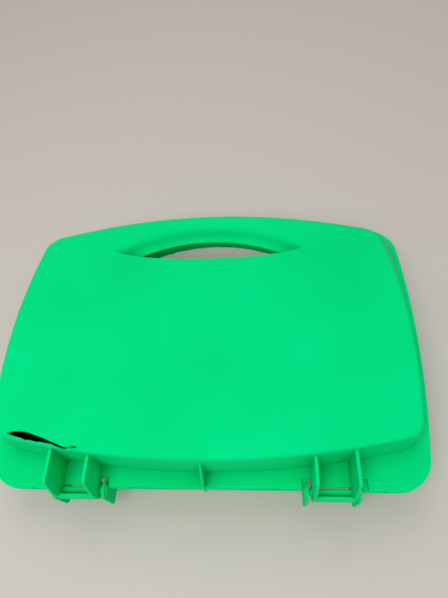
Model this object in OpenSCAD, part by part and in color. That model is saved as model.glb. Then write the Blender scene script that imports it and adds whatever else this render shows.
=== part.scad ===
// Clamshell carry case of a fleet guessing game, closed and lying on its back shell.
// Two moulded half shells meet at a parting plane and turn on two hinge pins.
// The origin is under the middle of the closed case, on the plane that it rests on.
// X runs along the hinge, Y from the hinge towards the handle, Z up.

/* [Case] */
// Width over the rims at the widest place
case_w = 281.5; // [260:0.5:310]
// Depth from the hinge axis to the handle side's rim
case_d = 201; // [196:1:220]
// Height of one half shell, from the parting plane to its flat face
shell_h = 32.5; // [30:0.5:40]
// Moulded wall
wall = 2; // [1.6:0.1:2.4]
// Gap between the closed rims
rim_gap = 0.3; // [0.2:0.05:0.5]

/* [Walls and rim] */
// How far the side walls lean in between rim and face
side_lean = 11.2; // [8:0.2:14]
// How far the handle side's wall leans in between rim and face
handle_lean = 13.8; // [10:0.2:15]
// Width of the rim outside the side and handle walls
rim_lip = 2.2; // [1.6:0.1:3]
// Thickness of the rim and of the shelf at the hinge side
rim_t = 2; // [1.6:0.1:2.4]
// Corner radius of the shelf
shelf_r = 18; // [14:0.5:24]
// Distance from the hinge axis to the foot of the bowed front wall
front_y = 9.8; // [9:0.2:12]
// How far the front wall's foot falls back from its middle to its ends
front_bow = 15; // [12:0.5:18]
// Rounding between the walls and the face
face_r = 2.5; // [2:0.25:3.5]

/* [Handle] */
// Half length of the hand hole at the face
hole_hw = 70.5; // [64:0.5:74]
// From the handle side's rim to the near edge of the hand hole at the face
hole_near_in = 56.4; // [54:0.2:61]
// From the handle side's rim to the far edge of the hand hole at the face
hole_far_in = 23.2; // [22:0.2:26]
// From the handle side's rim to the far edge of the hand hole in the lower shell
hole_lip_in = 14.8; // [13:0.2:19]
// Depth of the grip's rolled edge below the face
grip_h = 10; // [8:0.5:12]
// How far the grip's rolled edge reaches in over the hand hole
grip_in = 9.9; // [8:0.1:11]
// How far each end of the hand hole draws in down to the grip's lip
end_in = 11.5; // [8:0.5:13]
// Rounding of the hand hole's near edge
near_r = 1.5; // [1:0.1:2.5]
// Height of the lower shell's part of the grip
grip_low_h = 7; // [6:0.5:10]

/* [Hinge] */
// Middle of each hinge bracket, from the middle of the case
bracket_x = 74; // [68:0.5:80]
// Distance between the middles of the upper bracket's two walls
bracket_w = 22; // [20:0.5:24]
// Distance between the middles of the lower shell's two ears
ear_w = 29.5; // [28.5:0.5:32]
// Thickness of bracket walls and ears
bracket_t = 1.9; // [1.6:0.1:2.4]
// Height of the upper bracket walls above the parting plane
bracket_h = 28.8; // [24:0.2:29]
// Depth of the lower ears below the parting plane
ear_h = 21; // [18:0.5:26]
// Radius of the rounded knuckle about the hinge pin
knuckle_r = 5.1; // [4.5:0.1:5.6]
// Diameter of the hinge pins
pin_d = 4.2; // [3.6:0.1:4.6]
// Running clearance all round a pin in the upper bracket
pin_gap = 0.08; // [0.05:0.01:0.1]

/* [Game trays] */
// Depth of a tray's playing surface below the parting plane
tray_z = 12; // [11:0.5:14]
// Thickness of the tray plate
tray_t = 2; // [1.6:0.1:2.4]
// Rows and columns of the playing grid
grid_n = 10; // [8:1:10]
// Distance between the grid's peg holes
grid_pitch = 11; // [10:0.25:11.5]
// Diameter of the peg holes
hole_d = 3; // [2.8:0.1:3.2]
// Clearance all round a peg in its hole
peg_gap = 0.1; // [0.05:0.01:0.15]

/* [Hidden] */

// Outlines: a rounded rectangle whose four edges are bowed.
// [half width, hinge side y, handle side y, hinge corner r, handle corner r,
//  hinge side bow, handle side bow, side bow, widest place as a share of the depth]
rim_edge_y = 0.3;
front_draft = 0.3;
side_bow = 28;
handle_bow = 12;
widest = 0.65;
rim_outline = [case_w / 2, rim_edge_y, case_d, shelf_r, 17.5, 0, handle_bow, side_bow, widest];
foot_outline = [case_w / 2 - rim_lip, front_y, case_d - rim_lip, 10, 15.5,
                front_bow, handle_bow, side_bow, widest];
face_outline = [case_w / 2 - rim_lip - side_lean, front_y + front_draft,
                case_d - rim_lip - handle_lean, 7.3, 9.4, front_bow * 0.94, 18.3, 29.3, 0.45];
front_hw = foot_outline[0] - side_bow * pow(widest, 2);
arc_n = 7;
edge_n = 14;
hole_n = 14;

// Half depth of the whole case in Y, so that the origin is under its middle
mid_y = (case_d - knuckle_r) / 2;
bore_d = pin_d + 2 * pin_gap;
notch_y = knuckle_r + 1.9;
channel_y = pin_d / 2 + 0.4;
notch_out_x = 20;
notch_in_x = 17.2;
ear_gap = 0.4;

// Bows of the hand hole's edges, in mm at bow_x from its middle
bow_x = 85;
near_bow = 7.5;
face_far_bow = 20;
lip_far_bow = 31;
lip_hw = hole_hw - 2;
hole_near_y = case_d - hole_near_in;
hole_far_y = case_d - hole_far_in;
hole_lip_y = case_d - hole_lip_in;
lip_near_y = hole_near_y + near_r;

// The rolled edge of the grip, from the face to its free lip, as shares of its depth and reach
grip_profile = [[0, 0], [0.06, 0.24], [0.22, 0.44], [0.44, 0.56], [0.64, 0.63],
                [0.81, 0.73], [0.93, 0.87], [1, 1]];

tray_gap = 1;
tray_far_y = hole_near_y - 6;
grid_y = 75;
boss_d = 7;
boss_in = 33.75;
boss_x = case_w / 2 - boss_in;
boss_y = [46, 122];
screw_d = 2.2;
screw_l = 10;
rack_in = 22;
rack_x = boss_x - rack_in;
rack_cols = 4;
rack_rows = 10;
rack_pitch = 8.5;
peg_d = hole_d - 2 * peg_gap;
peg_l = 5.5;
peg_head_d = 5;
peg_head_h = 2.6;
ship_w = 8.4;
ship_h = 3.4;
ship_peg_l = 4;
ship_gap = 2.4;
deck_t = 1;
block_h = 1.6;
bridge_h = 1.1;
funnel_d = 1.9;
funnel_h = 1.2;
turret_d = 4.4;
turret_h = 1.5;
barrel_d = 0.8;
barrel_l = 4.6;
frame_h = 0.8;
frame_w = 1.4;
screw_head_d = 5;
screw_head_h = 1.8;
pin_head_d = 6.4;
pin_head_h = 0.8;
pin_end = 0.6;
mid_edge_y = 1;
rib_t = 1.6;
rib_end_h = 8.7;
plate_h = 7;
tongue_x = 90;
tongue_w = 14;
tongue_t = 1.6;
tongue_l = 3;
tongue_root = 9;
tongue_gap = 0.3;

case_green = [0.04, 0.85, 0.45];
tray_blue = [0.12, 0.36, 0.66];
tray_slate = [0.12, 0.15, 0.19];
ship_grey = [0.45, 0.48, 0.52];

function arc_points(c, r, from) =
    [for (i = [0:arc_n]) c + r * [cos(from + 90 * i / arc_n), sin(from + 90 * i / arc_n)]];

function edge_points(a, b) = [for (i = [1:edge_n - 1]) a + (b - a) * i / edge_n];

// Points of the plain rounded rectangle, anticlockwise from the hinge side's right corner
function box_points(hw, y0, y1, r0, r1) = concat(
    arc_points([hw - r0, y0 + r0], r0, -90),
    edge_points([hw, y0 + r0], [hw, y1 - r1]),
    arc_points([hw - r1, y1 - r1], r1, 0),
    edge_points([hw - r1, y1], [r1 - hw, y1]),
    arc_points([r1 - hw, y1 - r1], r1, 90),
    edge_points([-hw, y1 - r1], [-hw, y0 + r0]),
    arc_points([r0 - hw, y0 + r0], r0, 180),
    edge_points([r0 - hw, y0], [hw - r0, y0]));

// An outline o, moved in all round by d
function outline(o, d = 0) =
    let (hw = o[0] - d, y0 = o[1] + d, y1 = o[2] - d)
    [for (p = box_points(hw, y0, y1, max(o[3] - d, 1), max(o[4] - d, 1)))
        let (t = (p.y - y0) / (y1 - y0), s = pow(p.x / hw, 2))
        [p.x * (1 - o[7] / hw * pow(t - o[8], 2)),
         p.y + (1 - t) * o[5] * s - t * o[6] * s]];

// Outline of the hand hole: bowed near and far edges that close at the ends.
// It is grown by d at its ends and far edge, and by near_d at its near edge.
function lens(hw, near, far, far_bow, d = 0, near_d = 0) =
    concat([for (i = [0:hole_n - 1]) lens_point(-cos(180 * i / hole_n), -1, hw + d,
                                                near - near_d, far + d, far_bow)],
           [for (i = [0:hole_n - 1]) lens_point(cos(180 * i / hole_n), 1, hw + d,
                                                near - near_d, far + d, far_bow)]);

// Point at share t of the half length, on the far edge where side is 1
function lens_point(t, side, hw, near, far, far_bow) =
    let (s = pow(t * hw / bow_x, 2), y0 = near + near_bow * s, y1 = far - far_bow * s)
    [t * hw, (y0 + y1) / 2 + side * (y1 - y0) / 2 * sqrt(1 - pow(t, 6))];

// The hand hole's outline at the parting plane, in both shells
function lip_lens(d = 0) = lens(lip_hw, lip_near_y, hole_lip_y, lip_far_bow, d, d);

// The upper hand hole's outline at a step s of the grip's profile, moved out by d
function grip_lens(s, d = 0) =
    lens(hole_hw - end_in * s[1],
         hole_near_y + near_r * sqrt(1 - pow(max(1 - s[0] * grip_h / near_r, 0), 2)),
         hole_far_y - grip_in * s[1],
         face_far_bow + (lip_far_bow - face_far_bow) * s[1], d, d);

function reversed(list) = [for (i = [len(list) - 1:-1:0]) list[i]];

// Solid through a stack of outlines with equal numbers of points: [[z, points], ...]
module loft(sections) {
    n = len(sections[0][1]);
    last = len(sections) - 1;
    points = [for (s = sections) for (p = s[1]) [p.x, p.y, s[0]]];
    sides = [for (k = [0:last - 1]) for (i = [0:n - 1])
        [k * n + i, (k + 1) * n + i, (k + 1) * n + (i + 1) % n, k * n + (i + 1) % n]];
    polyhedron(points, concat(sides, [[for (i = [0:n - 1]) i]],
                              [[for (i = [n - 1:-1:0]) last * n + i]]), convexity = 4);
}

// Half shell, drawn as the upper one: parting plane at z = 0, face at z = shell_h.

module body_solid() {
    loft(concat(
        [[rim_gap / 2, outline(foot_outline)]],
        [for (a = [0, 35, 65, 90])
            [shell_h - face_r * (1 - sin(a)), outline(face_outline, face_r * (1 - cos(a)))]]));
}

module cavity() {
    loft([[-1, outline(foot_outline, wall)],
          [shell_h - wall - 1.5, outline(face_outline, wall)],
          [shell_h - wall, outline(face_outline, wall + 1.5)]]);
}

// Plan of the upper rim's notch: room for the ears, with a floor between the bracket's walls
module upper_notch() {
    difference() {
        translate([bracket_x - notch_in_x, -1])
            square([notch_in_x + notch_out_x, notch_y + 1]);
        translate([bracket_x - bracket_w / 2, channel_y])
            square([bracket_w, notch_y]);
    }
}

// Plan of the lower rim's notch: room for the bracket between the ears, and for the pin's ends
module lower_notch() {
    between = ear_w - bracket_t;
    translate([bracket_x - between / 2, -1])
        square([between, notch_y + 1]);
    translate([bracket_x - notch_in_x, -1])
        square([2 * notch_in_x, 1 + pin_head_d / 2 + ear_gap]);
}

// Plan of the rim, with its notches as the children
module rim_plan() {
    difference() {
        polygon(outline(rim_outline));
        translate([-(bracket_x - notch_in_x), -1])
            square([2 * (bracket_x - notch_in_x), 1 + mid_edge_y]);
        for (side = [0, 1])
            mirror([side, 0]) children();
    }
}

module open_shell() {
    difference() {
        union() {
            body_solid();
            translate([0, 0, rim_gap / 2])
                linear_extrude(rim_t) rim_plan() children();
        }
        cavity();
    }
}

// A flat moulded wall across the hinge axis, as a profile in Y and Z
module web(x, thickness, profile) {
    translate([x - thickness / 2, 0, 0])
        rotate([90, 0, 90])
            linear_extrude(thickness) polygon(profile);
}

// How far back the foot of the front wall lies at a place along the hinge
function front_wall_y(x) = front_y + front_bow * pow(x / front_hw, 2);

module centre_rib() {
    end_y = front_wall_y(0) + wall * 0.6;
    web(0, rib_t, [[mid_edge_y, rim_gap / 2], [mid_edge_y, rib_end_h],
                   [end_y, bracket_h], [end_y, rim_gap / 2]]);
}

// One wall of an upper bracket, with its knuckle about the hinge axis
module bracket_wall(x) {
    end_y = front_wall_y(x) + wall * 0.6;
    web(x, bracket_t, [[-knuckle_r, 0], [-knuckle_r, bracket_h * 0.4], [-2, bracket_h - 2.8],
                       [-0.9, bracket_h - 0.8], [1.2, bracket_h], [end_y, bracket_h],
                       [end_y, rim_gap / 2], [knuckle_r, rim_gap / 2], [knuckle_r, 0]]);
    knuckle(x);
}

module ear(x) {
    end_y = front_wall_y(x) + wall * 0.6;
    web(x, bracket_t, [[-knuckle_r, 0], [-knuckle_r, ear_h - 1.5], [1.5 - knuckle_r, ear_h],
                       [end_y, ear_h], [end_y, rim_gap / 2], [knuckle_r, rim_gap / 2],
                       [knuckle_r, 0]]);
    knuckle(x);
}

module knuckle(x) {
    translate([x - bracket_t / 2, 0, 0])
        rotate([0, 90, 0])
            cylinder(r = knuckle_r, h = bracket_t, $fn = 64);
}

// Low plate that closes the outer end of an upper bracket
module end_plate() {
    translate([bracket_x - bracket_w / 2, -knuckle_r, -1])
        cube([bracket_w, wall, plate_h + 1]);
}

// Tongues that follow the handle side's wall into the lower shell and hold the case shut
module closing_tongues() {
    steepest = handle_lean + face_outline[6] - handle_bow;
    inset = wall + steepest * (tongue_l + 1) / (shell_h - wall) + tongue_gap;
    difference() {
        for (x = [-tongue_x, tongue_x])
            intersection() {
                union() {
                    translate([0, 0, -tongue_l])
                        linear_extrude(tongue_l + 1) polygon(outline(foot_outline, inset));
                    body_solid();
                }
                translate([x - tongue_w / 2, case_d / 2, -tongue_l])
                    cube([tongue_w, case_d, tongue_l + tongue_root]);
            }
        translate([0, 0, -tongue_l - 1])
            linear_extrude(shell_h) polygon(outline(foot_outline, inset + tongue_t));
    }
}

module bosses() {
    for (x = [-boss_x, boss_x]) for (y = boss_y)
        translate([x, y, tray_z + tray_t])
            cylinder(d = boss_d, h = shell_h - wall / 2 - tray_z - tray_t, $fn = 48);
}

module boss_bores() {
    for (x = [-boss_x, boss_x]) for (y = boss_y)
        translate([x, y, tray_z + tray_t - 1])
            cylinder(d = screw_d, h = screw_l, $fn = 48);
}

module hinge_bores(d) {
    for (side = [0, 1])
        mirror([side, 0, 0])
            translate([bracket_x - ear_w, 0, 0])
                rotate([0, 90, 0])
                    cylinder(d = d, h = 2 * ear_w, $fn = 48);
}

// Moves a piece drawn about the hinge axis to the case's own origin
module in_case() {
    translate([0, -mid_y, shell_h]) children();
}

module in_lower_half() {
    in_case() mirror([0, 0, 1]) children();
}

// Hand hole of the upper shell, over the rolled edge of the grip
module upper_hand_hole() {
    lip = grip_profile[len(grip_profile) - 1];
    loft(concat([[shell_h - grip_h - 2 * wall, grip_lens(lip)]],
                [for (s = reversed(grip_profile)) [shell_h - grip_h * s[0], grip_lens(s)]],
                [[shell_h + 1, grip_lens(grip_profile[0])]]));
}

// What the rolled edge is cut from: the hand hole with a wall all round and under it
module grip_roll() {
    loft([for (s = reversed(grip_profile))
        [shell_h - grip_h * s[0] - wall * 0.6, grip_lens(s, wall)]]);
}

// Bay for the fingers under the grip, from the hand hole's near edge to the handle side
module finger_bay(d) {
    hw = lip_hw + 4 + d;
    near = [for (i = [-8:8])
        let (x = hw * i / 8) [x, lip_near_y - d + near_bow * pow(x / bow_x, 2)]];
    polygon(concat(near, [[hw + 8, case_d + 10], [-hw - 8, case_d + 10]]));
}

module upper_shell() {
    color(case_green)
    in_case()
    difference() {
        union() {
            difference() {
                union() {
                    open_shell() upper_notch();
                    intersection() {
                        body_solid();
                        union() {
                            grip_roll();
                            linear_extrude(shell_h)
                                difference() {
                                    finger_bay(wall);
                                    finger_bay(0);
                                }
                        }
                    }
                }
                upper_hand_hole();
            }
            centre_rib();
            for (side = [0, 1])
                mirror([side, 0, 0]) {
                    bracket_wall(bracket_x - bracket_w / 2);
                    bracket_wall(bracket_x + bracket_w / 2);
                    end_plate();
                }
            closing_tongues();
            bosses();
        }
        hinge_bores(bore_d);
        boss_bores();
    }
}

module lower_shell() {
    color(case_green)
    in_lower_half()
    difference() {
        union() {
            difference() {
                union() {
                    open_shell() lower_notch();
                    intersection() {
                        body_solid();
                        union() {
                            translate([0, 0, grip_low_h - wall])
                                linear_extrude(shell_h) finger_bay(wall);
                            translate([0, 0, rim_gap / 2])
                                linear_extrude(grip_low_h) polygon(lip_lens(wall));
                        }
                    }
                }
                translate([0, 0, grip_low_h])
                    linear_extrude(shell_h) finger_bay(0);
                translate([0, 0, -1])
                    linear_extrude(grip_low_h + 2) polygon(lip_lens());
            }
            centre_rib();
            for (side = [0, 1])
                mirror([side, 0, 0]) {
                    ear(bracket_x - ear_w / 2);
                    ear(bracket_x + ear_w / 2);
                }
            bosses();
        }
        hinge_bores(pin_d);
        boss_bores();
    }
}

// Headed pin, pushed in from the middle of the case: tight in the ears, free in the bracket
module hinge_pin(side) {
    outer = (ear_w + bracket_t) / 2;
    color(case_green)
    in_case()
    mirror([side, 0, 0])
        translate([bracket_x - outer, 0, 0])
            rotate([0, 90, 0]) {
                cylinder(d = pin_d, h = 2 * outer + pin_end, $fn = 48);
                translate([0, 0, -pin_head_h])
                    cylinder(d = pin_head_d, h = pin_head_h, $fn = 48);
            }
}

function hole_places(cols, rows, pitch, x0) =
    [for (i = [0:cols - 1]) for (j = [0:rows - 1])
        [x0 + (i - (cols - 1) / 2) * pitch, grid_y + (j - (rows - 1) / 2) * pitch]];

// Tray with the playing grid between two racks of peg holes, drawn for the upper half
module tray() {
    translate([0, 0, tray_z])
        linear_extrude(tray_t)
            difference() {
                intersection() {
                    polygon(outline(face_outline, wall + tray_gap));
                    translate([-case_w / 2, 0])
                        square([case_w, tray_far_y]);
                }
                for (p = concat(hole_places(grid_n, grid_n, grid_pitch, 0),
                                hole_places(rack_cols, rack_rows, rack_pitch, rack_x),
                                hole_places(rack_cols, rack_rows, rack_pitch, -rack_x)))
                    translate(p) circle(d = hole_d, $fn = 24);
                for (x = [-boss_x, boss_x]) for (y = boss_y)
                    translate([x, y]) circle(d = screw_d + 0.5, $fn = 24);
            }
    frame_hw = grid_n * grid_pitch / 2;
    translate([0, grid_y, tray_z - frame_h])
        linear_extrude(frame_h)
            difference() {
                square(2 * frame_hw + 2 * frame_w, center = true);
                square(2 * frame_hw, center = true);
            }
}

module ocean_tray() {
    color(tray_blue) in_lower_half() tray();
}

module target_tray() {
    color(tray_slate) in_case() tray();
}

module tray_screws() {
    for (x = [-boss_x, boss_x]) for (y = boss_y)
        translate([x, y, tray_z]) {
            translate([0, 0, -screw_head_h])
                cylinder(d = screw_head_d, h = screw_head_h, $fn = 48);
            cylinder(d = screw_d, h = screw_l - 1, $fn = 48);
        }
}

module ocean_tray_screws() {
    color("silver") in_lower_half() tray_screws();
}

module target_tray_screws() {
    color("silver") in_case() tray_screws();
}

// Pegs stand in a rack, heads on the tray
module pegs(x0) {
    for (p = hole_places(rack_cols, rack_rows, rack_pitch, x0))
        translate([p.x, p.y, tray_z]) {
            cylinder(d = peg_d, h = peg_l, $fn = 24);
            translate([0, 0, -peg_head_h / 2])
                cylinder(d = peg_head_d, h = peg_head_h / 2, $fn = 24);
            translate([0, 0, -peg_head_h])
                cylinder(d1 = peg_head_d * 0.65, d2 = peg_head_d, h = peg_head_h / 2, $fn = 24);
        }
}

module hit_pegs() {
    color("crimson") in_lower_half() pegs(rack_x);
}

module miss_pegs() {
    color("white") in_lower_half() pegs(-rack_x);
}

// Puts a ship of so many cells on the ocean grid, its first cell at column i and row j
module on_grid(cells, i, j, along) {
    first = hole_places(grid_n, grid_n, grid_pitch, 0)[i * grid_n + j];
    color(ship_grey)
    in_case()
    translate([first.x, first.y, -tray_z])
        rotate([0, 0, along]) {
            translate([(cells - 1) * grid_pitch / 2, 0, 0]) children();
            for (k = [0, cells - 1])
                translate([k * grid_pitch, 0, -ship_peg_l])
                    cylinder(d = peg_d, h = ship_peg_l + 1, $fn = 24);
        }
}

// Plan of a ship's hull: straight sides, pointed bow at +X, narrower stern
function hull_plan(l, w) =
    [[-l / 2, -w * 0.3], [-l / 2 + w * 0.35, -w / 2], [l / 2 - w * 1.3, -w / 2],
     [l / 2 - w * 0.55, -w * 0.36], [l / 2, 0], [l / 2 - w * 0.55, w * 0.36],
     [l / 2 - w * 1.3, w / 2], [-l / 2 + w * 0.35, w / 2], [-l / 2, w * 0.3]];

function ship_l(cells) = cells * grid_pitch - ship_gap;

module ship_hull(cells, w = ship_w, h = ship_h) {
    linear_extrude(h) polygon(hull_plan(ship_l(cells), w));
}

// Gun turret with a pair of barrels that point along +X
module turret(x, facing = 0) {
    translate([x, 0, ship_h])
        rotate([0, 0, facing]) {
            cylinder(d = turret_d, h = turret_h, $fn = 32);
            for (side = [-1, 1])
                translate([0, side * barrel_d, turret_h * 0.6])
                    rotate([0, 90, 0])
                        cylinder(d = barrel_d, h = barrel_l, $fn = 16);
        }
}

// Block of the superstructure, from x along the ship, on its middle line or y off it
module block(x, l, w, z, h, y = 0) {
    translate([x, y - w / 2, z]) cube([l, w, h]);
}

module funnel(x) {
    translate([x, 0, ship_h + block_h]) cylinder(d = funnel_d, h = funnel_h, $fn = 32);
}

module carrier() {
    l = ship_l(5);
    hull_h = ship_h * 0.75;
    on_grid(5, 1, 8, 0) {
        ship_hull(5, ship_w * 0.84, hull_h);
        translate([0, 0, hull_h])
            linear_extrude(deck_t)
                polygon([[-l * 0.49, -ship_w / 2], [l * 0.39, -ship_w / 2], [l * 0.48, -ship_w * 0.3],
                         [l * 0.48, ship_w * 0.3], [l * 0.39, ship_w / 2], [-l * 0.49, ship_w / 2]]);
        block(l * 0.04, l * 0.17, ship_w * 0.26, hull_h + deck_t, block_h, -ship_w * 0.34);
        block(l * 0.09, l * 0.08, ship_w * 0.18, hull_h + deck_t + block_h, bridge_h, -ship_w * 0.34);
    }
}

module battleship() {
    l = ship_l(4);
    on_grid(4, 8, 2, 90) {
        ship_hull(4);
        block(-l * 0.14, l * 0.26, ship_w * 0.48, ship_h, block_h);
        block(-l * 0.02, l * 0.11, ship_w * 0.34, ship_h + block_h, bridge_h);
        funnel(-l * 0.1);
        turret(l * 0.21);
        turret(-l * 0.25, 180);
    }
}

module cruiser() {
    l = ship_l(3);
    on_grid(3, 2, 1, 0) {
        ship_hull(3, ship_w * 0.9);
        block(-l * 0.16, l * 0.26, ship_w * 0.43, ship_h, block_h);
        block(-l * 0.01, l * 0.08, ship_w * 0.29, ship_h + block_h, bridge_h);
        funnel(-l * 0.08);
        turret(l * 0.2);
    }
}

module submarine() {
    l = ship_l(3);
    d = ship_w * 0.67;
    on_grid(3, 4, 5, 0) {
        intersection() {
            translate([0, 0, d * 0.34])
                union() {
                    rotate([0, 90, 0]) cylinder(d = d, h = l - 2 * d, center = true, $fn = 48);
                    translate([l / 2 - d, 0, 0]) sphere(d = d, $fn = 48);
                    translate([-l / 2 + d, 0, 0])
                        rotate([0, -90, 0]) cylinder(d1 = d, d2 = d * 0.29, h = d, $fn = 48);
                }
            translate([-l, -d, 0]) cube([2 * l, 2 * d, 2 * d]);
        }
        block(-l * 0.03, l * 0.2, ship_w * 0.21, d * 0.64, d * 0.43);
    }
}

module patrol_boat() {
    l = ship_l(2);
    on_grid(2, 1, 3, 90) {
        ship_hull(2, ship_w * 0.86);
        block(-l * 0.2, l * 0.32, ship_w * 0.4, ship_h, block_h);
        block(-l * 0.1, l * 0.13, ship_w * 0.24, ship_h + block_h, bridge_h);
    }
}

lower_shell();
upper_shell();
hinge_pin(1);  // hinge_pin_left
hinge_pin(0);  // hinge_pin_right
ocean_tray();
target_tray();
ocean_tray_screws();
target_tray_screws();
carrier();
battleship();
cruiser();
submarine();
patrol_boat();
hit_pegs();
miss_pegs();
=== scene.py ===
import math

import bmesh
import bpy
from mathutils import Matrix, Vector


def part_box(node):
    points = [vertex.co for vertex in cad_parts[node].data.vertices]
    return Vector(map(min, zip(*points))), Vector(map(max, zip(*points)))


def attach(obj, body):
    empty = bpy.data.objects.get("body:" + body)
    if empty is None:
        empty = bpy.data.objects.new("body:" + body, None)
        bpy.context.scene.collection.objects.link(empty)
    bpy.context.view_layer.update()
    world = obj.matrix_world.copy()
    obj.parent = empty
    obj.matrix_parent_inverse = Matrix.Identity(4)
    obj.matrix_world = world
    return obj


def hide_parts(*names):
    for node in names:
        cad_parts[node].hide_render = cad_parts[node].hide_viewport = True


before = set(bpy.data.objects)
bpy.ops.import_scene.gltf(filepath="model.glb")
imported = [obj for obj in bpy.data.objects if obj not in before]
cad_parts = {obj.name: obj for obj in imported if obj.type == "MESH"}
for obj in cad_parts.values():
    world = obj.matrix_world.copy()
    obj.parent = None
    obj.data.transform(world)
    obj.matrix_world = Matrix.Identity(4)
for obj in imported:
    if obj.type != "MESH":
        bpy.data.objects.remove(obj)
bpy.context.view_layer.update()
bpy.ops.object.select_all(action="DESELECT")


# ---- Lower half shell -------------------------------------------------------------------
# Half of a clamshell carry case: one thin-walled moulding of bright green polypropylene with
# a fine satin grain. Its ears, bosses and finger bay are moulded in one piece with it.


def merged_copy(node, name):
    """A piece of its own with a node's shape: its triangles joined, and even ones on its flats."""
    same_point = 2e-6
    same_flat = math.radians(0.3)
    piece = bpy.data.objects.new(name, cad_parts[node].data.copy())
    bpy.context.scene.collection.objects.link(piece)
    piece.data.materials.clear()
    bpy.context.view_layer.objects.active = piece
    piece.select_set(True)
    bpy.ops.object.mode_set(mode="EDIT")
    bpy.ops.mesh.select_all(action="SELECT")
    bpy.ops.mesh.remove_doubles(threshold=same_point)
    bpy.ops.mesh.dissolve_limited(angle_limit=same_flat)
    bpy.ops.mesh.quads_convert_to_tris(quad_method="BEAUTY", ngon_method="BEAUTY")
    bpy.ops.object.mode_set(mode="OBJECT")
    bpy.ops.mesh.customdata_custom_splitnormals_clear()
    return piece


def soften_edges(piece, radius, steps=2, corner=35, smooth=38):
    """Rounds off the outward edges that are sharper than the corner angle, as a mould does.

    The piece keeps its own lowest and highest places, and its edges past the smooth angle stay crisp.
    """
    bpy.context.view_layer.objects.active = piece
    piece.select_set(True)
    places = [point.co for point in piece.data.vertices]
    lowest = [min(place[axis] for place in places) for axis in range(3)]
    highest = [max(place[axis] for place in places) for axis in range(3)]
    shape = bmesh.new()
    shape.from_mesh(piece.data)
    rounded = shape.edges.layers.float.new("bevel_weight_edge")
    for edge in shape.edges:
        outward = len(edge.link_faces) == 2 and edge.is_convex
        if outward and edge.calc_face_angle() > math.radians(corner):
            edge[rounded] = 1.0
    shape.to_mesh(piece.data)
    shape.free()
    bevel = piece.modifiers.new("edge radius", "BEVEL")
    bevel.width = radius
    bevel.segments = steps
    bevel.limit_method = "WEIGHT"
    bevel.use_clamp_overlap = False
    bevel.loop_slide = False
    bpy.ops.object.modifier_apply(modifier=bevel.name)
    piece.data.attributes.remove(piece.data.attributes["bevel_weight_edge"])
    for point in piece.data.vertices:
        point.co = [min(max(point.co[axis], lowest[axis]), highest[axis]) for axis in range(3)]
    bpy.ops.object.shade_smooth_by_angle(angle=math.radians(smooth))
    even = piece.modifiers.new("even shading", "WEIGHTED_NORMAL")
    even.keep_sharp = True
    even.weight = 80
    bpy.ops.object.modifier_apply(modifier=even.name)
    piece.select_set(False)


def new_group(name, inputs, outputs):
    """A shader group with its named inputs and outputs, and the two nodes they show on."""
    tree = bpy.data.node_groups.new(name, "ShaderNodeTree")
    for label, kind, value in inputs:
        socket = tree.interface.new_socket(label, in_out="INPUT", socket_type="NodeSocket" + kind)
        socket.default_value = value
    for label, kind in outputs:
        tree.interface.new_socket(label, in_out="OUTPUT", socket_type="NodeSocket" + kind)
    return tree, tree.nodes.new("NodeGroupInput"), tree.nodes.new("NodeGroupOutput")


def put(tree, kind, wired=None, **fields):
    """Adds a node, sets its fields, and fills or wires its inputs."""
    node = tree.nodes.new("ShaderNode" + kind)
    for field, value in fields.items():
        setattr(node, field, value)
    for socket, value in (wired or {}).items():
        if isinstance(value, bpy.types.NodeSocket):
            tree.links.new(value, node.inputs[socket])
        else:
            node.inputs[socket].default_value = value
    return node


def put_group(tree, group, **values):
    """Places a group's node with its own values."""
    node = tree.nodes.new("ShaderNodeGroup")
    node.node_tree = group
    for label, value in values.items():
        node.inputs[label.replace("_", " ")].default_value = value
    return node


# Fine satin grain of a spark-eroded mould, with slow changes in gloss where the melt flowed
grain, g_in, g_out = new_group(
    "satin grain",
    [("Grain per metre", "Float", 1500.0), ("Flow per metre", "Float", 14.0)],
    [("Height", "Float"), ("Flow", "Float")],
)
place = put(grain, "TexCoord").outputs["Object"]
fine = put(
    grain, "TexNoise",
    {"Vector": place, "Scale": g_in.outputs["Grain per metre"], "Detail": 3.0, "Roughness": 0.6},
)
slow = put(
    grain, "TexNoise",
    {"Vector": place, "Scale": g_in.outputs["Flow per metre"], "Detail": 2.0, "Roughness": 0.45},
)
grain.links.new(fine.outputs["Fac"], g_out.inputs["Height"])
grain.links.new(slow.outputs["Fac"], g_out.inputs["Flow"])

# Worn edges with a painted highlight: lighter where the surface turns within a short distance, broken
# up by noise
edge_wear_and_highlight, w_in, w_out = new_group(
    "edge wear",
    [("Reach", "Float", 0.0008), ("Amount", "Float", 1.0), ("Patches per metre", "Float", 160.0)],
    [("Mask", "Float")],
)
turned = put(edge_wear_and_highlight, "Bevel", {"Radius": w_in.outputs["Reach"]}, samples=4)
flat = put(edge_wear_and_highlight, "NewGeometry").outputs["Normal"]
agree = put(
    edge_wear_and_highlight, "VectorMath", {0: turned.outputs["Normal"], 1: flat}, operation="DOT_PRODUCT",
)
near_edge = put(
    edge_wear_and_highlight, "MapRange",
    {"Value": agree.outputs["Value"], "From Min": 0.99, "From Max": 0.85},
)
place = put(edge_wear_and_highlight, "TexCoord").outputs["Object"]
patch = put(
    edge_wear_and_highlight, "TexNoise",
    {"Vector": place, "Scale": w_in.outputs["Patches per metre"], "Detail": 4.0},
)
broken = put(
    edge_wear_and_highlight, "MapRange",
    {"Value": patch.outputs["Fac"], "From Min": 0.35, "From Max": 0.65, "To Min": 0.25},
)
worn_and_highlit = put(
    edge_wear_and_highlight, "Math", {0: near_edge.outputs[0], 1: broken.outputs[0]}, operation="MULTIPLY",
)
worn_and_highlit = put(
    edge_wear_and_highlight, "Math", {0: worn_and_highlit.outputs[0], 1: w_in.outputs["Amount"]}, operation="MULTIPLY",
)
edge_wear_and_highlight.links.new(worn_and_highlit.outputs[0], w_out.inputs["Mask"])

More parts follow.
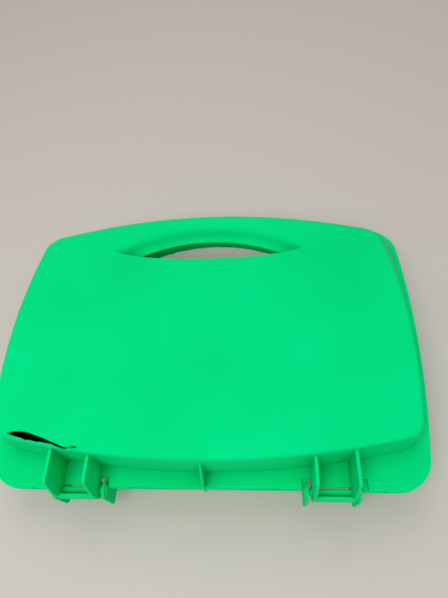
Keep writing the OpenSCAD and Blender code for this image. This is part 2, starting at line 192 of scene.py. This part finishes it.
# Handling marks: short fine scratches in two directions, gathered in a few patches
handling, h_in, h_out = new_group(
    "handling marks",
    [("Fineness", "Float", 220.0), ("Patches per metre", "Float", 18.0), ("Spread", "Float", 0.5)],
    [("Mask", "Float")],
)
place = put(handling, "TexCoord").outputs["Object"]
layers = []
for turn, stretch in ((0.5, 14.0), (-0.9, 10.0)):
    along = put(
        handling, "Mapping",
        {"Vector": place, "Rotation": (0.0, 0.0, turn), "Scale": (1.0, stretch, stretch)},
    )
    lines = put(
        handling, "TexNoise",
        {"Vector": along.outputs[0], "Scale": h_in.outputs["Fineness"], "Detail": 1.0},
    )
    layers.append(put(
        handling, "MapRange",
        {"Value": lines.outputs["Fac"], "From Min": 0.68, "From Max": 0.74},
    ).outputs[0])
either = put(handling, "Math", {0: layers[0], 1: layers[1]}, operation="MAXIMUM")
where = put(
    handling, "TexNoise",
    {"Vector": place, "Scale": h_in.outputs["Patches per metre"], "Detail": 2.0},
)
gathered = put(
    handling, "MapRange", {"Value": where.outputs["Fac"], "From Min": 0.5, "From Max": 0.7},
)
marks = put(
    handling, "Math", {0: either.outputs[0], 1: gathered.outputs[0]}, operation="MULTIPLY",
)
marks = put(
    handling, "Math", {0: marks.outputs[0], 1: h_in.outputs["Spread"]}, operation="MULTIPLY",
)
handling.links.new(marks.outputs[0], h_out.inputs["Mask"])

# Painted shade: the colour darkens in inner corners, between ribs and under lips, where ambient
# occlusion finds the surface closed in
crease_shading, c_in, c_out = new_group(
    "crease grime",
    [("Reach", "Float", 0.012), ("Amount", "Float", 0.6)],
    [("Mask", "Float")],
)
openness = put(
    crease_shading, "AmbientOcclusion", {"Distance": c_in.outputs["Reach"]}, samples=8, only_local=True,
)
closed_in = put(
    crease_shading, "MapRange", {"Value": openness.outputs["AO"], "From Min": 0.88, "From Max": 0.15},
)
closed_in = put(
    crease_shading, "Math", {0: closed_in.outputs[0], 1: c_in.outputs["Amount"]}, operation="MULTIPLY",
)
crease_shading.links.new(closed_in.outputs[0], c_out.inputs["Mask"])


def blended(tree, share, first, second):
    """A colour between two: either may be a fixed colour or another node's output."""
    first, second = (
        part if isinstance(part, bpy.types.NodeSocket) else (*part, 1.0) for part in (first, second)
    )
    mix = put(tree, "Mix", {0: share, 6: first, 7: second}, data_type="RGBA")
    return mix.outputs[2]


def moulded(name, deep, pale, worn_and_highlit_to, rough, shine=0.25, tint=(1.0, 1.0, 1.0),
            grain_depth=0.00002, wear_and_highlight=0.5, marks=0.3, painted_shade=0.0):
    """Moulded plastic between two shades of its colour, with its grain and marks, edges lightened
    partly as wear and partly as a painted highlight, and painted shade in inner corners when asked.
    """
    material = bpy.data.materials.new(name)
    material.use_nodes = True
    tree = material.node_tree
    body = tree.nodes["Principled BSDF"]
    body.inputs["Specular IOR Level"].default_value = shine
    body.inputs["Specular Tint"].default_value = (*tint, 1.0)
    surface = put_group(tree, grain)
    edges = put_group(tree, edge_wear_and_highlight, Amount=wear_and_highlight)
    handled = put_group(tree, handling, Spread=marks)
    flow = put(
        tree, "MapRange", {"Value": surface.outputs["Flow"], "From Min": 0.3, "From Max": 0.7},
    )
    shade = blended(tree, flow.outputs[0], deep, pale)
    # Painted shade: inner corners and creases are darkened towards a deep green
    if painted_shade:
        shaded_corners = put_group(tree, crease_shading, Amount=painted_shade)
        painted_shade_colour = tuple(0.35 * part for part in deep)
        shade = blended(tree, shaded_corners.outputs["Mask"], shade, painted_shade_colour)
    # Edges are lightened partly as wear and partly as a painted highlight; the handling marks are
    # real wear
    rubbed_and_highlit = put(
        tree, "Math", {0: edges.outputs["Mask"], 1: handled.outputs["Mask"]},
        operation="MAXIMUM", use_clamp=True,
    )
    tree.links.new(blended(tree, rubbed_and_highlit.outputs[0], shade, worn_and_highlit_to), body.inputs["Base Color"])
    gloss_spread = 0.04
    gloss = put(
        tree, "MapRange",
        {"Value": surface.outputs["Height"], "From Min": 0.3, "From Max": 0.7,
         "To Min": rough - gloss_spread, "To Max": rough + gloss_spread},
    )
    dulled_by_marks = 0.3
    gloss = put(
        tree, "Math", {0: handled.outputs["Mask"], 1: dulled_by_marks, 2: gloss.outputs[0]},
        operation="MULTIPLY_ADD",
    )
    tree.links.new(gloss.outputs[0], body.inputs["Roughness"])
    relief = put(tree, "Bump", {"Height": surface.outputs["Height"], "Distance": grain_depth})
    tree.links.new(relief.outputs[0], body.inputs["Normal"])
    return material


def finish_piece(piece, material, body, node):
    """Gives a piece its one material, sets it on its body, and lets it stand for its node."""
    piece.select_set(False)
    piece.data.materials.clear()
    piece.data.materials.append(material)
    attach(piece, body)
    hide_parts(node)


# The case's green gets painted shade in its inner corners, and lighter edges that are partly wear and
# partly painted highlight
case_green = moulded(
    "green moulded plastic", deep=(0.001, 0.69, 0.2), pale=(0.001, 0.75, 0.24),
    worn_and_highlit_to=(0.01, 0.86, 0.33), rough=0.5, shine=0.03, tint=(0.02, 1.0, 0.45),
    painted_shade=0.55,
)

shell_edge_radius = 0.00035
lower = merged_copy("lower_shell", "lower_half_shell")
soften_edges(lower, shell_edge_radius)
finish_piece(lower, case_green, "lower_half", "lower_shell")


# ---- Upper half shell -------------------------------------------------------------------
# The other moulding of the same green plastic, with the hinge brackets and the closing
# tongues. A blow has split it along the front edge of its face, near the left end.

def cut_away(piece, tool):
    """Cuts a solid out of a piece, and deletes the solid."""
    bpy.context.view_layer.objects.active = piece
    cut = piece.modifiers.new("cut", "BOOLEAN")
    cut.operation = "DIFFERENCE"
    cut.solver = "MANIFOLD"
    cut.object = tool
    bpy.ops.object.modifier_apply(modifier=cut.name)
    bpy.data.objects.remove(tool)


# Both lips of the split, from its left tip to where it runs out as a hairline, in millimetres
far_lip = [
    (-111.3, -73.3), (-108.6, -72.3), (-106.2, -71.9), (-103.4, -72.0), (-100.3, -72.4),
    (-97.2, -73.2), (-93.9, -74.4), (-90.8, -75.3), (-87.5, -76.5), (-84.6, -77.7),
    (-82.0, -78.5), (-79.7, -79.4), (-77.8, -80.3), (-75.9, -80.7), (-74.3, -80.95),
    (-72.1, -80.7), (-70.4, -80.8), (-68.6, -81.0),
]
near_lip = [
    (-111.3, -73.4), (-108.2, -74.4), (-105.5, -75.1), (-102.4, -75.8), (-99.1, -76.8),
    (-96.0, -77.2), (-92.6, -78.1), (-89.6, -78.2), (-86.7, -78.8), (-83.9, -79.1),
    (-81.3, -80.3), (-79.3, -80.9), (-77.4, -81.2), (-75.6, -81.7), (-74.2, -81.4),
    (-72.0, -81.1), (-70.3, -81.15), (-68.6, -81.05),
]
split_top = 0.066
split_depth = 0.0062
bpy.ops.mesh.primitive_grid_add(x_subdivisions=len(far_lip) - 1, y_subdivisions=1, size=1)
split = bpy.context.object
rows = sorted(split.data.vertices, key=lambda corner: (corner.co.y, corner.co.x))
for corner, (x, y) in zip(rows, near_lip + far_lip):
    corner.co = (x / 1000, y / 1000, split_top)
bpy.ops.object.mode_set(mode="EDIT")
bpy.ops.mesh.select_all(action="SELECT")
bpy.ops.mesh.extrude_region_move(TRANSFORM_OT_translate={"value": (0, 0, -split_depth)})
bpy.ops.mesh.select_all(action="SELECT")
bpy.ops.mesh.normals_make_consistent(inside=False)
bpy.ops.object.mode_set(mode="OBJECT")
split.select_set(False)

upper = merged_copy("upper_shell", "upper_half_shell")
cut_away(upper, split)
soften_edges(upper, shell_edge_radius)
finish_piece(upper, case_green, "upper_half", "upper_shell")


# ---- Hinge pins -------------------------------------------------------------------------
# Two short headed pins of the same green plastic, turned smooth by the mould. Each is pushed
# through one ear, the bracket and the other ear, and holds by its tight fit in the ears.

pin_edge_radius = 0.0003
for node in ("hinge_pin_left", "hinge_pin_right"):
    pin = merged_copy(node, node + "_piece")
    soften_edges(pin, pin_edge_radius)
    finish_piece(pin, case_green, "lower_half", node)


# ---- Ocean and target trays -------------------------------------------------------------
# Two plates that screw to the bosses, one in each half: sea blue below and dark slate above.
# Each has ten by ten peg holes between engraved lines, and a rack of holes at either side.

grid_cells = 10
cell = 0.011
line_width = 0.0006
line_depth = 0.0003
frame_height = 0.0008
tray_edge_radius = 0.00012
same_height = 0.00001


def engraved_lines(middle_y, surface, turned):
    """Bars along one set of lines between a playing grid's cells, as deep as the engraving."""
    bars = []
    long_way, wide_way = (0, 1) if turned else (1, 0)
    for step in range(1, grid_cells):
        off = (step - grid_cells / 2) * cell
        middle = (0.0, middle_y + off, surface) if turned else (off, middle_y, surface)
        bpy.ops.mesh.primitive_cube_add(size=1, location=middle)
        bar = bpy.context.object
        bar.scale[long_way] = grid_cells * cell
        bar.scale[wide_way] = line_width
        bar.scale[2] = 2 * line_depth
        bars.append(bar)
        bar.select_set(False)
    for bar in bars:
        bar.select_set(True)
    bpy.context.view_layer.objects.active = bars[0]
    bpy.ops.object.join()
    lines = bpy.context.object
    bpy.ops.object.transform_apply(location=True, rotation=True, scale=True)
    lines.select_set(False)
    return lines


tray_blue = moulded(
    "sea blue tray plastic", deep=(0.012, 0.09, 0.32), pale=(0.022, 0.14, 0.42),
    worn_and_highlit_to=(0.12, 0.3, 0.6), rough=0.3, shine=0.45, grain_depth=0.00001, wear_and_highlight=0.35, marks=0.25,
)
tray_slate = moulded(
    "slate tray plastic", deep=(0.012, 0.018, 0.028), pale=(0.02, 0.028, 0.042),
    worn_and_highlit_to=(0.09, 0.11, 0.14), rough=0.34, shine=0.4, grain_depth=0.00001, wear_and_highlight=0.35, marks=0.25,
)

for node, body, paint, slot, outward in (
    ("ocean_tray", "lower_half", tray_blue, "ocean_plastic", 1),
    ("target_tray", "upper_half", tray_slate, "target_plastic", -1),
):
    tray = merged_copy(node, node + "_plate")
    tray.select_set(False)
    low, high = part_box(node)
    frame_top = high.z if outward > 0 else low.z
    surface = frame_top - outward * frame_height
    on_frame = [
        point.co.y for point in tray.data.vertices if abs(point.co.z - frame_top) < same_height
    ]
    grid_middle = (min(on_frame) + max(on_frame)) / 2
    for turned in (False, True):
        cut_away(tray, engraved_lines(grid_middle, surface, turned))
    soften_edges(tray, tray_edge_radius, steps=1, corner=50, smooth=30)
    finish_piece(tray, paint, body, node)


# ---- Tray screws ------------------------------------------------------------------------
# Zinc-plated self-tapping screws, four to a tray: a pan head with a cross recess on a plain
# shank, modelled once and set at the four bosses of each half.

zinc = bpy.data.materials.new("zinc plating")
zinc.use_nodes = True
tree = zinc.node_tree
plating = tree.nodes["Principled BSDF"]
plating.inputs["Metallic"].default_value = 1.0
mottle = put_group(tree, grain, Grain_per_metre=900.0, Flow_per_metre=260.0)
tone = blended(tree, mottle.outputs["Flow"], (0.42, 0.42, 0.43), (0.66, 0.66, 0.64))
tree.links.new(tone, plating.inputs["Base Color"])
dull = put(tree, "MapRange", {"Value": mottle.outputs["Height"], "To Min": 0.28, "To Max": 0.48})
tree.links.new(dull.outputs[0], plating.inputs["Roughness"])

head_radius = 0.0025
head_height = 0.0018
dome_radius = head_height * 0.55
shank_radius = 0.0011
recess_length = head_radius * 1.25
recess_width = 0.00055
recess_height = head_height * 0.8
recess_middle = head_height * 0.85


def turned_screw(x, y, under_head, shank_end, up):
    """One screw: a domed head, two bars cut out of it crosswise, and a plain shank joined on."""
    bpy.ops.mesh.primitive_cylinder_add(
        vertices=40, radius=head_radius, depth=head_height,
        location=(x, y, under_head + up * head_height / 2),
    )
    screw = bpy.context.object
    bpy.ops.object.transform_apply(location=True, rotation=True, scale=True)
    dome = screw.modifiers.new("dome", "BEVEL")
    dome.width = dome_radius
    dome.segments = 5
    dome.limit_method = "ANGLE"
    dome.angle_limit = math.radians(60)
    bpy.ops.object.modifier_apply(modifier=dome.name)
    for turn in (45, 135):
        bpy.ops.mesh.primitive_cube_add(
            size=1, location=(x, y, under_head + up * recess_middle),
            rotation=(0, 0, math.radians(turn)),
        )
        bar = bpy.context.object
        bar.scale = (recess_length, recess_width, recess_height)
        bpy.ops.object.transform_apply(location=True, rotation=True, scale=True)
        bar.select_set(False)
        cut_away(screw, bar)
    bpy.ops.mesh.primitive_cylinder_add(
        vertices=24, radius=shank_radius, depth=abs(shank_end - under_head),
        location=(x, y, (shank_end + under_head) / 2),
    )
    bpy.ops.object.transform_apply(location=True, rotation=True, scale=True)
    screw.select_set(True)
    bpy.context.view_layer.objects.active = screw
    bpy.ops.object.join()
    return screw


for node, body, up in (
    ("ocean_tray_screws", "lower_half", 1),
    ("target_tray_screws", "upper_half", -1),
):
    low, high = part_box(node)
    under_head = high.z - head_height if up > 0 else low.z + head_height
    shank_end = low.z if up > 0 else high.z
    first_place = (low.x + head_radius, low.y + head_radius)
    first = turned_screw(*first_place, under_head, shank_end, up)
    set_of_four = [first]
    for x, y in (
        (low.x + head_radius, high.y - head_radius),
        (high.x - head_radius, low.y + head_radius),
        (high.x - head_radius, high.y - head_radius),
    ):
        screw = bpy.data.objects.new(node + "_copy", first.data.copy())
        bpy.context.scene.collection.objects.link(screw)
        for point in screw.data.vertices:
            point.co.x += x - first_place[0]
            point.co.y += y - first_place[1]
        set_of_four.append(screw)
    for screw in set_of_four:
        screw.select_set(True)
    bpy.context.view_layer.objects.active = first
    bpy.ops.object.join()
    screws = bpy.context.object
    screws.name = node + "_set"
    bpy.ops.object.shade_smooth_by_angle(angle=math.radians(40))
    finish_piece(screws, zinc, body, node)


# ---- Ships ------------------------------------------------------------------------------
# Five small grey mouldings with two pegs below each hull, which stand in the ocean grid.
# Their edges are soft from the mould, and the handled ones have gone paler.

ship_grey = moulded(
    "ship grey plastic", deep=(0.14, 0.155, 0.175), pale=(0.19, 0.21, 0.235),
    worn_and_highlit_to=(0.42, 0.44, 0.46), rough=0.45, shine=0.35, wear_and_highlight=0.8, marks=0.35,
)
hull_edge_radius = 0.00015
for ship in ("carrier", "battleship", "cruiser", "submarine", "patrol_boat"):
    hull = merged_copy(ship, ship + "_hull")
    soften_edges(hull, hull_edge_radius)
    finish_piece(hull, ship_grey, ship + "_body", ship)


# ---- Marker pegs ------------------------------------------------------------------------
# Forty red and forty white pegs that stand in the racks of the ocean tray: a short shank
# under a stepped head, glossy from a polished mould.

peg_red = moulded(
    "red peg plastic", deep=(0.5, 0.008, 0.015), pale=(0.62, 0.014, 0.022),
    worn_and_highlit_to=(0.8, 0.12, 0.12), rough=0.26, shine=0.5, grain_depth=0.000004, wear_and_highlight=0.3, marks=0.1,
)
peg_white = moulded(
    "white peg plastic", deep=(0.74, 0.73, 0.69), pale=(0.84, 0.83, 0.8),
    worn_and_highlit_to=(0.9, 0.9, 0.88), rough=0.26, shine=0.5, grain_depth=0.000004, wear_and_highlight=0.3, marks=0.1,
)
peg_edge_radius = 0.00018
for node, paint, slot in (
    ("hit_pegs", peg_red, "hit_plastic"),
    ("miss_pegs", peg_white, "miss_plastic"),
):
    pegs = merged_copy(node, node + "_rack")
    soften_edges(pegs, peg_edge_radius)
    finish_piece(pegs, paint, "lower_half", node)


# ---- Floor, lamps and camera ------------------------------------------------------------
# A plain pale floor under two soft lamps, seen by someone who stands over the hinge side.

bpy.ops.mesh.primitive_plane_add(size=8, location=(0, 1.5, 0))
floor = bpy.context.object
floor.name = "floor"
floor_paint = bpy.data.materials.new("pale floor")
floor_paint.use_nodes = True
paint = floor_paint.node_tree.nodes["Principled BSDF"].inputs
paint["Base Color"].default_value = (0.63, 0.575, 0.535, 1.0)
paint["Roughness"].default_value = 0.9
paint["Specular IOR Level"].default_value = 0.1
floor.data.materials.append(floor_paint)

# One soft lamp over the front at the left, and a wider, weaker one over the far side
for place, tilt, size, energy in (
    ((-0.12, -0.36, 0.72), (27, -9, 0), 0.4, 2.7),
    ((-0.1, 0.45, 1.1), (-23, -5, 0), 0.7, 2.2),
):
    turned = [math.radians(angle) for angle in tilt]
    bpy.ops.object.light_add(type="AREA", location=place, rotation=turned)
    lamp = bpy.context.object
    lamp.data.shape = "SQUARE"
    lamp.data.size = size
    lamp.data.energy = energy

world = bpy.data.worlds.new("soft room")
bpy.context.scene.world = world
world.use_nodes = True
air = world.node_tree
path = put(air, "LightPath").outputs
seen = path["Is Camera Ray"]
for other in ("Is Glossy Ray", "Is Transmission Ray"):
    seen = put(air, "Math", {0: seen, 1: path[other]}, operation="MAXIMUM").outputs[0]
light_it_gives = 0.5
pale_it_looks = 0.8
glow = put(air, "MapRange", {"Value": seen, "To Min": light_it_gives, "To Max": pale_it_looks})
air.links.new(glow.outputs[0], air.nodes["Background"].inputs["Strength"])
air.nodes["Background"].inputs["Color"].default_value = (1.0, 1.0, 1.0, 1.0)

bpy.ops.object.camera_add(
    location=(0.033834, -0.141668, 0.314079),
    rotation=(math.radians(31.977985), math.radians(4.303286), math.radians(1.271198)),
)
camera = bpy.context.object
camera.data.lens = 27.166
camera.data.sensor_width = 36.0
camera.data.clip_start = 0.01
bpy.context.scene.camera = camera
bpy.context.scene.view_settings.view_transform = "Standard"
